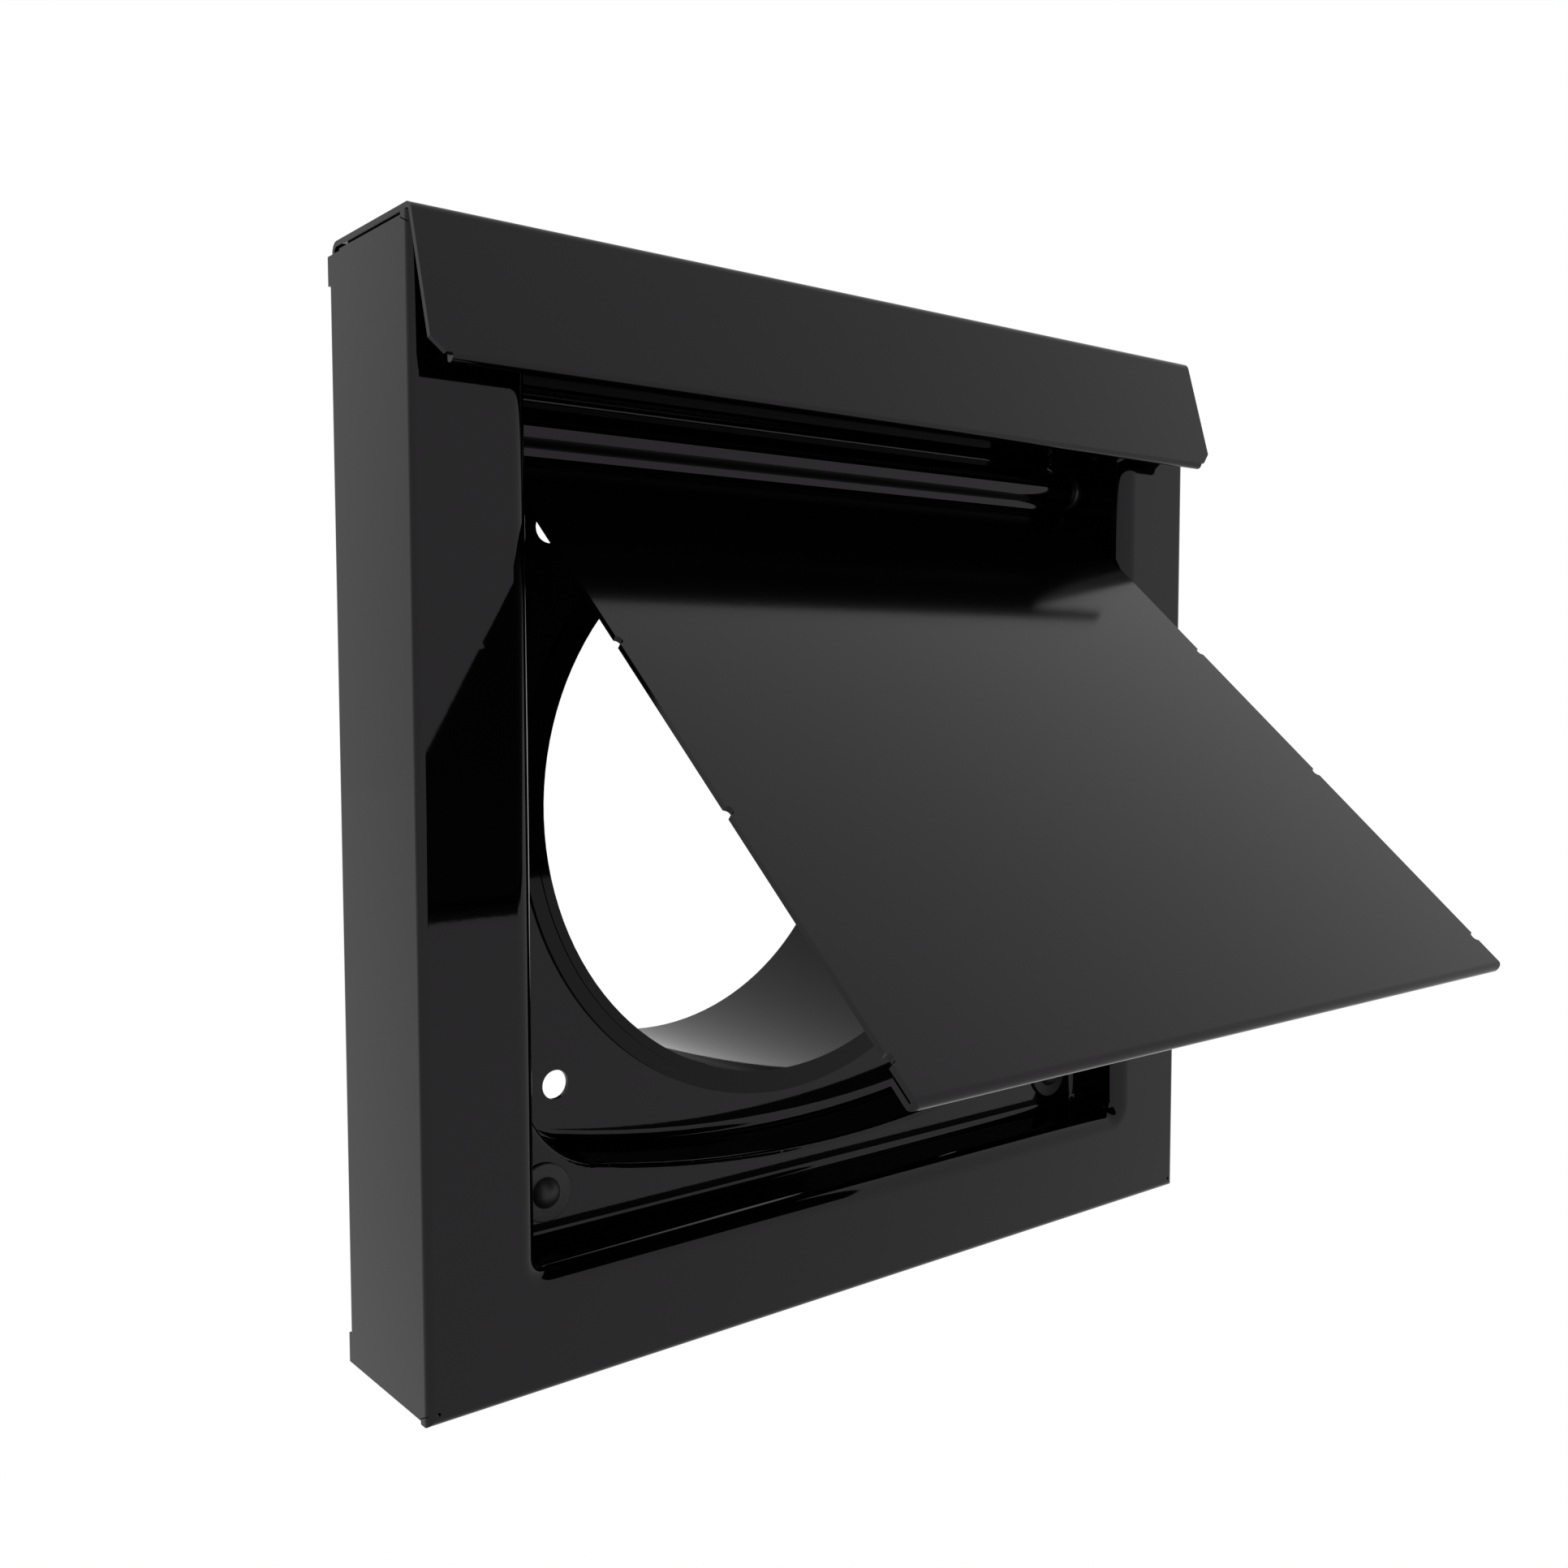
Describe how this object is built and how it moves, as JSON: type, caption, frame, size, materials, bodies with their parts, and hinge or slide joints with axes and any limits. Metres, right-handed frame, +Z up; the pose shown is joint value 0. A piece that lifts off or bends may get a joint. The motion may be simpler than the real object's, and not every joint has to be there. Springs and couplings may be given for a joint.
{
  "type": "dryer vent cap",
  "caption": "Low-profile square wall cap for a dryer duct, with a folded rain visor, a recessed window and a gravity damper that swings out on a rod.",
  "frame": {"origin": "centre of the duct hole on the wall plane, where the rear returns touch the wall", "axes": "+X right as seen by someone facing the cap, +Y into the wall along the duct, +Z up; the cap faces -Y"},
  "size_m": [0.165, 0.1431, 0.1659],
  "materials": {
    "black_powder_coat": "smooth semi-gloss black powder coat",
    "damper_coat": "smooth semi-gloss black powder coat",
    "rod_steel": "drawn rod, bright",
    "bush_plastic": "moulded, smooth",
    "bumper_rubber": "soft satin rubber"
  },
  "bodies": {
    "housing": {"housing_pan": "black_powder_coat", "visor": "black_powder_coat", "duct_collar": "black_powder_coat", "hinge_rod": "rod_steel", "rod_bush_left": "bush_plastic", "rod_bush_right": "bush_plastic", "bumper_left": "bumper_rubber", "bumper_right": "bumper_rubber"},
    "damper": {"damper": "damper_coat"}
  },
  "joints": [
    {"name": "damper_hinge", "type": "hinge", "parent": "housing", "child": "damper", "pos_m": [0, -0.0127, 0.058], "axis": [1, 0, 0], "range_deg": [-58, 44.8]}
  ]
}
